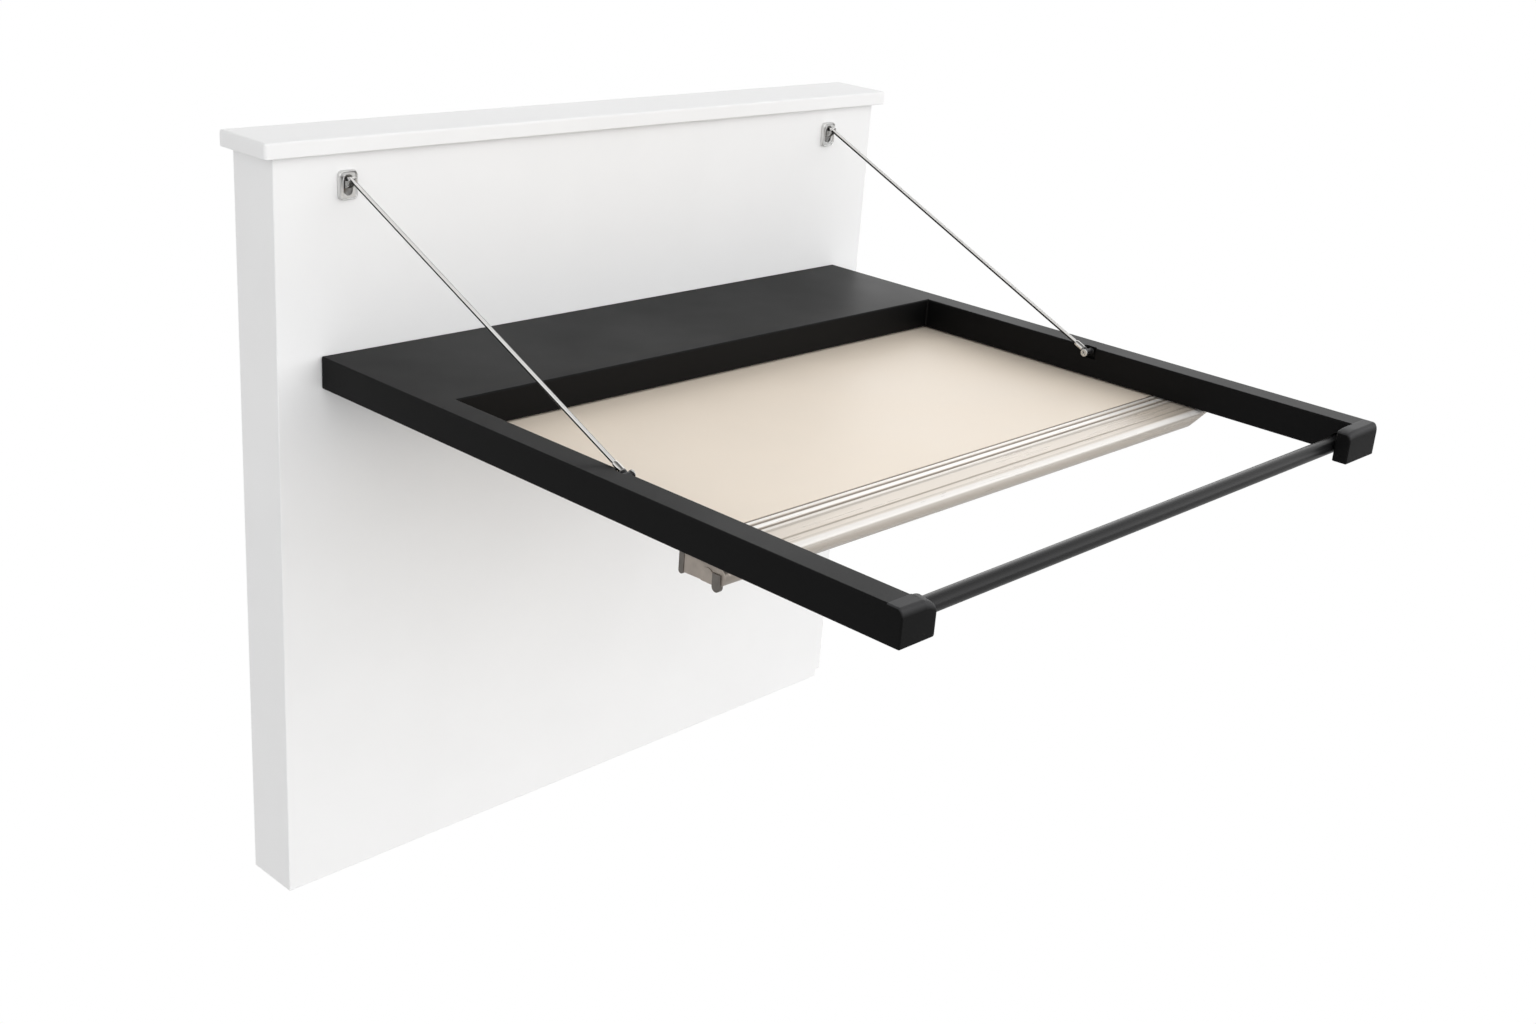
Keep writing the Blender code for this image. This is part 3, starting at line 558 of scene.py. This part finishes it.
def build_cap():
    """Ledge board with eased edges and rounded front corners."""
    corner_round, top_ease, under_ease = 0.004, 0.0028, 0.0012
    lowest, highest = low("cap_ledge"), high("cap_ledge")
    cap = block(lowest, highest)

    def front_corner(edge):
        return all(abs(v.co.y - lowest.y) < TINY for v in edge.verts) and \
            abs(edge.verts[0].co.z - edge.verts[1].co.z) > 0.001

    def level_at(height):
        return lambda edge: all(abs(v.co.z - height) < TINY for v in edge.verts) and \
            min(v.co.y for v in edge.verts) < -TINY

    round_edges(cap, corner_round, 5, front_corner)
    round_edges(cap, top_ease, 4, level_at(highest.z))
    round_edges(cap, under_ease, 3, level_at(lowest.z))
    add_piece("cap_ledge_board", cap, "cap_ledge")


def build_plate(side):
    """Pressed escutcheon: a crowned rim, a sunk face and a slotted opening with a rolled lip."""
    node = f"{side}_stay_plate"
    lowest, highest, centre = low(node), high(node), middle(node)
    wide, tall, depth = highest.x - lowest.x, highest.z - lowest.z, highest.y - lowest.y
    slot_wide, slot_tall, corner = 0.0116, 0.0226, 0.0055
    # How much narrower each ring is than the plate or its slot, and how far it is from the board
    rim = ((0, 0), (0, 0.0020), (0.0004, 0.0030), (0.0014, 0.0037), (0.0026, depth),
           (0.0038, depth - 0.0003), (0.0048, depth - 0.0010), (0.0056, depth - 0.0015))
    lip = ((-0.0022, depth - 0.0015), (-0.0012, depth - 0.0009), (-0.0004, depth - 0.0011),
           (0, depth - 0.0018), (0, 0))

    def raised(outline, distance):
        return [Vector((centre.x + a, highest.y - distance, centre.z + b)) for a, b in outline]

    rings = [raised(rounded_rectangle(wide - shrink, tall - shrink, corner - shrink / 2), distance)
             for shrink, distance in rim]
    rings += [raised(rounded_rectangle(slot_wide - shrink, slot_tall - shrink,
                                       (slot_wide - shrink) / 2 - TINY), distance)
              for shrink, distance in lip]
    add_piece(f"{side}_plate_pressing", new_solid(rings, looped=True), node, 50)


# ---------------------------------------------------------------- folding frame

def build_frame():
    """Arms, deck, rear rail and fascia cut from one rounded outline, so their faces run on flush."""
    notch_long, notch_deep, notch_high, notch_round = 0.020, 0.0058, 0.0145, 0.0050
    fillet, beyond = 0.004, 0.02
    rear, seam = high("right_arm").y, BLOCK_REAR_Y
    plan = [(-RACK_HALF, rear), (-RACK_HALF, seam), (-ARM_INNER, seam), (-ARM_INNER, SHELF_Y),
            (ARM_INNER, SHELF_Y), (ARM_INNER, seam), (RACK_HALF, seam), (RACK_HALF, rear)]
    body = prism(plan, "z", RACK_UNDER, RACK_TOP)
    round_edges(body, FRAME_ROUND, 4,
                lambda edge: not all(abs(v.co.y - seam) < TINY for v in edge.verts))
    rail_front, fascia_rear = low("shelf_rear_rail").y, high("shelf_fascia").y
    body = carve(body, block((-ARM_INNER, rail_front, RACK_UNDER - beyond),
                             (ARM_INNER, fascia_rear, DECK_UNDER)))
    bar, bar_reach = middle("front_bar"), high("front_bar").x
    bar_hole = (high("front_bar").z - low("front_bar").z) / 2 + GAP
    for _, sign in SIDES:
        body = carve(body, rod((sign * (ARM_INNER - beyond), bar.y, bar.z),
                               (sign * (bar_reach + GAP), bar.y, bar.z), bar_hole, sides=48))
        notch = [(sign * ARM_INNER + a, PIVOT.y + b)
                 for a, b in rounded_rectangle(2 * notch_deep, notch_long, notch_round)]
        body = carve(body, prism(notch, "z", RACK_TOP - notch_high, RACK_TOP + beyond))
    wide, tall, front = RACK_HALF + beyond, RACK_TOP + beyond, seam - beyond
    regions = {
        "shelf_deck": ((-ARM_INNER, beyond, DECK_UNDER), (ARM_INNER, SHELF_Y - fillet, tall)),
        "shelf_rear_rail": ((-ARM_INNER, beyond, -beyond), (ARM_INNER, rail_front, DECK_UNDER)),
        "shelf_fascia": ((-ARM_INNER, fascia_rear, -beyond), (ARM_INNER, SHELF_Y - fillet, DECK_UNDER)),
        "left_arm": ((-wide, beyond, -beyond), (-ARM_INNER, front, tall)),
        "right_arm": ((ARM_INNER, beyond, -beyond), (wide, front, tall)),
    }
    for node, (corner, opposite) in regions.items():
        add_piece(f"{node}_board", carve(body.copy(), block(corner, opposite), "INTERSECT"), node)
    body.free()


def build_end_block(side, sign):
    """Rounded end of an arm that turns inward in front of the bar, its top falling away to the tip."""
    tip = abs(high("left_end_block").x) if sign < 0 else low("right_end_block").x
    fall, fall_long, tip_round = BLOCK_FALL[side]
    steepest, front_deep, front_high, easy = 0.96, 0.006, 0.010, 0.0016
    steps, stations = 6, 12

    def section(x, inset, rear_inset, rear_round):
        """One outline across the block; its rear top edge stays flush with the arm's end."""
        reach = min(1.0, max(0.0, 1 - (x - tip) / fall_long))
        drop = fall * (1 - math.sqrt(1 - (steepest * reach) ** 2))
        rear_drop = drop * min(1.0, max(0.0, (ARM_INNER - x) / (ARM_INNER - tip)))
        rear, front = BLOCK_REAR_Y - rear_inset, BLOCK_FRONT_Y + inset
        top, bottom = RACK_TOP - inset, RACK_UNDER + inset
        corners = ((rear, top - rear_drop, rear_round, rear_round),
                   (front, top - drop, front_deep, front_high - 0.4 * drop),
                   (front, bottom, easy, easy), (rear, bottom, rear_round, rear_round))
        points = []
        for quarter, (y, z, across, up) in enumerate(corners):
            side_y, side_z = (-1 if quarter in (0, 3) else 1), (-1 if quarter < 2 else 1)
            for i in range(steps + 1):
                turn = math.pi / 2 * (quarter + i / steps)
                points.append(Vector((sign * x, y + side_y * across + across * math.cos(turn),
                                      z + side_z * up + up * math.sin(turn))))
        return points

    quarter_turns = [math.pi / 2 * i / steps for i in range(steps + 1)]
    rings = [section(RACK_HALF - FRAME_ROUND + FRAME_ROUND * math.cos(turn),
                     FRAME_ROUND * (1 - math.sin(turn)), 0, 0) for turn in quarter_turns]
    rings.append(section(ARM_INNER, 0, 0, 0))
    rings.append(section(ARM_INNER, 0, 0, easy))
    span = ARM_INNER - tip - tip_round
    rings += [section(ARM_INNER - span * i / stations, 0, 0, easy) for i in range(1, stations + 1)]
    rings += [section(tip + tip_round - tip_round * math.sin(turn), tip_round * (1 - math.cos(turn)),
                      tip_round * (1 - math.cos(turn)), easy) for turn in quarter_turns[1:]]
    add_piece(f"{side}_end_block_shaped", new_solid(rings), f"{side}_end_block", 40, "black_end_grain")


def build_bar():
    """Round tube across the front, its ends eased."""
    lowest, highest, centre = low("front_bar"), high("front_bar"), middle("front_bar")
    radius = (highest.z - lowest.z) / 2
    add_piece("front_bar_tube", rod((lowest.x, centre.y, centre.z), (highest.x, centre.y, centre.z),
                                    radius, 0.0015, 64), "front_bar")


# ---------------------------------------------------------------- fasteners and fittings

def build_screw(node, outward, head_share):
    """Flat-headed cross-recess screw with a threaded shank; outward is the way that its head faces."""
    lowest, highest, centre = low(node), high(node), middle(node)
    outward = Vector(outward)
    size = highest - lowest
    length = abs(size.dot(outward))
    head = centre + outward * length / 2
    radius = sorted(size)[1] / 2 if sorted(size)[2] == length else sorted(size)[2] / 2
    deep = length * head_share
    shank, pitch = radius * 0.44, 0.0014
    profile = [(0, 0), (0, radius * 0.80), (deep * 0.08, radius * 0.95), (deep * 0.22, radius),
               (deep * 0.40, radius), (deep, shank * 1.05)]
    thread_start = deep * 1.2
    for i in range(int((length - thread_start) / pitch) - 1):
        along = thread_start + i * pitch
        profile += [(along, shank * 0.78), (along + pitch * 0.35, shank * 0.78),
                    (along + pitch * 0.7, shank)]
    profile += [(length - pitch, shank * 0.75), (length, 0)]
    screw = turned(profile, head, -outward, 24)
    across = outward.orthogonal().normalized()
    beside = outward.cross(across)
    long, thin, sunk, above = radius * 0.62, radius * 0.13, deep * 0.75, 0.001
    corners = ((1, 1), (-1, 1), (-1, -1), (1, -1))
    for first, second in ((across, beside), (beside, across)):
        mouth = [head + outward * above + first * a * long + second * b * thin for a, b in corners]
        foot = [head - outward * sunk + first * a * long * 0.45 + second * b * thin * 0.7
                for a, b in corners]
        screw = carve(screw, new_solid([mouth, foot]))
    add_piece(f"{node}_fastener", screw, node, 32)


def build_pin(node):
    """Hinge pin with rounded ends."""
    lowest, highest, centre = low(node), high(node), middle(node)
    radius = (highest.z - lowest.z) / 2
    pin = rod((lowest.x, centre.y, centre.z), (highest.x, centre.y, centre.z), radius, 0.0009, 24)
    add_piece(f"{node}_shaft", pin, node)


def build_softened(node, name, width, segments=2, sharp=40):
    """The CAD shape with its edges eased as rolled, sawn or pressed stock is."""
    add_piece(name, round_edges(node_mesh(node), width, segments, None, 50), node, sharp)


def build_stay(side, sign):
    """Straight rod with a cross head that hangs in the board's hook, and a turned eye at its foot."""
    node = f"{side}_stay_rod"
    head_x = sign * STAY_X
    foot = Vector((head_x, PIVOT.y, PIVOT.z))
    head = Vector((head_x, high(node).y - CROSS_RADIUS, high(node).z - CROSS_RADIUS))
    along = (head - foot).normalized()
    start, length = 0.0103, (head - foot).length
    neck, neck_long = ROD_RADIUS * 0.80, 0.012
    profile = [(start, ROD_RADIUS * 0.9), (start + 0.0005, ROD_RADIUS), (length - neck_long, ROD_RADIUS),
               (length - neck_long * 0.75, neck), (length, neck)]
    shaft = turned([(d - start, r) for d, r in profile], foot + along * start, along, 32)
    cross_half = Vector((0.0052, 0, 0))
    cross = rod(head - cross_half, head + cross_half, CROSS_RADIUS, 0.0008, 24)
    add_piece(f"{side}_rod_drawn", carve(shaft, cross, "UNION"), node, 45)

    eye_node = f"{side}_stay_ferrule"
    near, far = low(eye_node).x, high(eye_node).x
    socket_start, socket_end, socket_easy, beyond = 0.0100, 0.0300, 0.0002, 0.01
    eye = rod((near, foot.y, foot.z), (far, foot.y, foot.z), EYE_RADIUS, 0.0009, 40)
    # The sleeve's outline: distance from the pivot and radius
    collar = [(0.001, 0.0032), (0.0055, 0.0036), (0.0165, 0.0037), (0.0185, 0.0036), (0.0200, 0.0031)]
    sleeve = turned([(d - collar[0][0], r) for d, r in collar], foot + along * collar[0][0], along, 40)
    ferrule = carve(eye, sleeve, "UNION")
    ferrule = carve(ferrule, rod(foot + along * socket_start, foot + along * socket_end,
                                 ROD_RADIUS + socket_easy, sides=32))
    ferrule = carve(ferrule, rod((near - beyond, foot.y, foot.z), (far + beyond, foot.y, foot.z),
                                 EYE_BORE, sides=24))
    add_piece(f"{side}_ferrule_turned", ferrule, eye_node, 40, "blackened_foot")


# ---------------------------------------------------------------- tray

def nose_arc(radius, squash=1.0, steps=24):
    """Half round of the tray's nose from its top to its bottom, as (y, z) points."""
    centre = TRAY_TOP - NOSE_RADIUS * squash
    turns = [math.pi / 2 - math.pi * i / steps for i in range(steps + 1)]
    return [(NOSE_OUT - radius * math.cos(turn), centre + radius * squash * math.sin(turn))
            for turn in turns]


def build_panel():
    """Thin flat sheet with eased edges."""
    panel = block(low("tray_panel"), high("tray_panel"))
    add_piece("tray_panel_sheet", round_edges(panel, 0.0008, 3), "tray_panel")


def build_profile():
    """Front extrusion: a ledge under the panel, soft grooves along its top and a hollow bull nose."""
    node = "tray_front_profile"
    lowest, highest = low(node), high(node)
    wall, ledge_thick, web, lip_deep, steps = 0.0025, 0.0022, 0.003, 0.0055, 8
    ledge_rear, ledge_top = highest.y, low("tray_panel").z - GAP
    start, ledge_under = low("tray_panel").y - GAP, ledge_top - ledge_thick
    outline = [(ledge_rear, ledge_under), (ledge_rear, ledge_top), (start, ledge_top), (start, TRAY_TOP)]
    for distance, half, deep, _ in GROOVES:
        for i in range(steps + 1):
            across = -1 + 2 * i / steps
            outline.append((FACE_Y - distance - half * across,
                            TRAY_TOP - deep * 0.5 * (1 + math.cos(math.pi * across))))
    outline += nose_arc(NOSE_RADIUS)
    lip, lip_under = NOSE_OUT + lip_deep, TRAY_TOP - 2 * NOSE_RADIUS
    outline += [(lip, lip_under), (lip, lip_under + wall)]
    outline += reversed(nose_arc(NOSE_RADIUS - wall))
    outline += [(start - web, TRAY_TOP - wall), (start - web, ledge_under)]
    extrusion = prism(outline, "x", lowest.x, highest.x)
    add_piece("tray_profile_extrusion", extrusion, node, 40, "grooved_aluminium")


def build_right_cap():
    """Moulded end that carries the bull nose on and sweeps its underside up to a thin tip."""
    node = "tray_right_end_cap"
    lowest, highest = low(node), high(node)
    stations, thin, sweep = 14, 0.35, 1.2
    rings = []
    for i in range(stations + 1):
        share = i / stations
        squash = 1 - (1 - thin) * share ** sweep
        x = lowest.x + (highest.x - lowest.x) * share
        section = [(highest.y, TRAY_TOP)] + nose_arc(NOSE_RADIUS, squash)
        section.append((highest.y, TRAY_TOP - 2 * NOSE_RADIUS * squash))
        rings.append([Vector((x, y, z)) for y, z in section])
    add_piece("tray_right_end_moulding", new_solid(rings), node, 40, "grooved_aluminium")


def tongue(rear, front, top, bottom, steps=12):
    """A hanging tongue with a round lower end, as (y, z) points; a bottom above the top turns it over."""
    radius, centre = abs(front - rear) / 2, (rear + front) / 2
    way = 1 if top > bottom else -1
    points = [(rear, top), (front, top)]
    for i in range(steps + 1):
        turn = -math.pi * i / steps
        points.append((centre + math.copysign(radius, front - rear) * math.cos(turn),
                       bottom + way * (radius + radius * math.sin(turn))))
    return points


def build_left_bracket():
    """Cast end bracket: wraps the nose, with a tab behind, a tab in front and an arched pad between."""
    node = "tray_left_bracket"
    lowest, highest = low(node), high(node)
    plate_thick, deep, below_nose, ease = 0.0020, 0.0215, 0.0005, 0.0010
    outer, inner, top = lowest.x + plate_thick, highest.x, highest.z
    rear, base = FACE_Y - 0.5820, top - deep
    face = [(rear, top)] + [(y, z - below_nose) for y, z in nose_arc(NOSE_RADIUS)] + [(rear, base)]
    bracket = round_edges(prism(face, "x", outer, inner), ease, 3,
                          lambda edge: all(v.co.x < outer + TINY for v in edge.verts))
    add_piece("tray_left_bracket_casting", bracket, node, 40)
    # Each tab: its two sides, its head, its round foot, and where it starts and ends along X
    tabs = ((rear + 0.0060, rear - 0.0008, top, lowest.z + 0.0022, outer - 0.0008, outer + 0.007),
            (FACE_Y - 0.6215, FACE_Y - 0.6320, TRAY_TOP - 0.0080, lowest.z, lowest.x, outer + 0.003),
            (FACE_Y - 0.6060, FACE_Y - 0.6222, base + 0.0010, TRAY_TOP - 0.0058, outer - 0.0011,
             outer + 0.003))
    finishes = ("dark_bronze", "dark_bronze", "bronze_bracket")
    for number, (behind, ahead, head, foot, start, end) in enumerate(tabs):
        tab = round_edges(prism(tongue(behind, ahead, head, foot), "x", start, end), 0.0005, 2)
        add_piece(f"tray_left_bracket_tab_{number + 1}", tab, node, 40, finishes[number])


# ---------------------------------------------------------------- studio

def add_camera():
    data = bpy.data.cameras.new("camera")
    data.lens = CAMERA_LENS
    data.sensor_width = 36.0
    camera = bpy.data.objects.new("camera", data)
    bpy.context.scene.collection.objects.link(camera)
    forward = Vector((math.sin(CAMERA_YAW) * math.cos(CAMERA_PITCH),
                      math.cos(CAMERA_YAW) * math.cos(CAMERA_PITCH), math.sin(CAMERA_PITCH)))
    level = Vector((math.cos(CAMERA_YAW), -math.sin(CAMERA_YAW), 0))
    upright = level.cross(forward)
    right = level * math.cos(CAMERA_ROLL) + upright * math.sin(CAMERA_ROLL)
    up = upright * math.cos(CAMERA_ROLL) - level * math.sin(CAMERA_ROLL)
    turned_to = Matrix((right, up, -forward)).transposed().to_4x4()
    camera.matrix_world = Matrix.Translation(CAMERA_PLACE) @ turned_to
    bpy.context.scene.camera = camera


def add_world():
    """Plain studio: an even room with soft lobes of light, which the camera sees as plain white."""
    world = bpy.data.worlds.new("studio")
    world.use_nodes = True
    tree = world.node_tree
    way = tree.nodes.new("ShaderNodeTexCoord").outputs["Generated"]
    total = ROOM_LIGHT
    for direction, sharpness, strength in LIGHT_LOBES:
        dot = link_vector(tree, "DOT_PRODUCT", way, Vector(direction).normalized(), output="Value")
        facing = link_math(tree, "MAXIMUM", dot, 0.0)
        lobe = link_math(tree, "MULTIPLY", link_math(tree, "POWER", facing, sharpness), strength)
        total = link_math(tree, "ADD", lobe, total)
    seen = tree.nodes.new("ShaderNodeLightPath").outputs["Is Camera Ray"]
    hidden = link_math(tree, "SUBTRACT", 1.0, seen)
    background = tree.nodes["Background"]
    background.inputs["Color"].default_value = (1, 1, 1, 1)
    strength = link_math(tree, "ADD", link_math(tree, "MULTIPLY", total, hidden), seen)
    tree.links.new(strength, background.inputs["Strength"])
    bpy.context.scene.world = world


def add_floor():
    """Pale floor that the camera sees as the same white as the backdrop."""
    bm = bmesh.new()
    bmesh.ops.create_grid(bm, x_segments=1, y_segments=1, size=FLOOR_REACH)
    floor = hold(bm, "floor")
    floor.location.z = FLOOR_Z
    weave = Weave("floor")
    grey = (FLOOR_TONE,) * 3
    tone = weave.blend(weave.noise(0.5), shade(grey, 0.98), shade(grey, 1.02))
    floor.data.materials.append(weave.finish(Base_Color=tone, Roughness=0.8))
    backdrop = weave.add("ShaderNodeEmission", Color=(1, 1, 1, 1), Strength=1.0)
    seen = weave.add("ShaderNodeLightPath").outputs["Is Camera Ray"]
    either = weave.add("ShaderNodeMixShader")
    for socket, source in zip(either.inputs, (seen, weave.shader.outputs["BSDF"],
                                              backdrop.outputs["Emission"])):
        weave.feed(socket, source)
    weave.feed(weave.tree.nodes["Material Output"].inputs["Surface"], either.outputs["Shader"])


def main():
    eased, lightly_eased = 0.0005, 0.0004
    dress_nodes()
    add_camera()
    add_world()
    add_floor()
    build_shell()
    build_cap()
    build_frame()
    build_bar()
    build_softened("tray_rear_batten", "tray_batten_bar", eased)
    for side, sign in SIDES:
        build_softened(f"{side}_hinge_wall_leaf", f"{side}_wall_leaf_pressing", eased)
        build_softened(f"{side}_hinge_rack_leaf", f"{side}_rack_leaf_pressing", eased)
        build_softened(f"{side}_tray_runner", f"{side}_runner_channel", lightly_eased)
        build_softened(f"{side}_stay_anchor", f"{side}_anchor_casting", lightly_eased)
        build_plate(side)
        build_end_block(side, sign)
        build_stay(side, sign)
        build_pin(f"{side}_hinge_pin")
        for number in (1, 2):
            build_screw(f"{side}_hinge_wall_screw_{number}", (0, -1, 0), 0.07)
            build_screw(f"{side}_hinge_rack_screw_{number}", (0, 0, -1), 0.12)
            build_screw(f"{side}_runner_screw_{number}", (0, 0, -1), 0.12)
        build_screw(f"{side}_stay_screw", (-sign, 0, 0), 0.08)
    build_panel()
    build_profile()
    build_right_cap()
    build_left_bracket()
    bpy.context.scene.view_settings.view_transform = "Standard"


main()
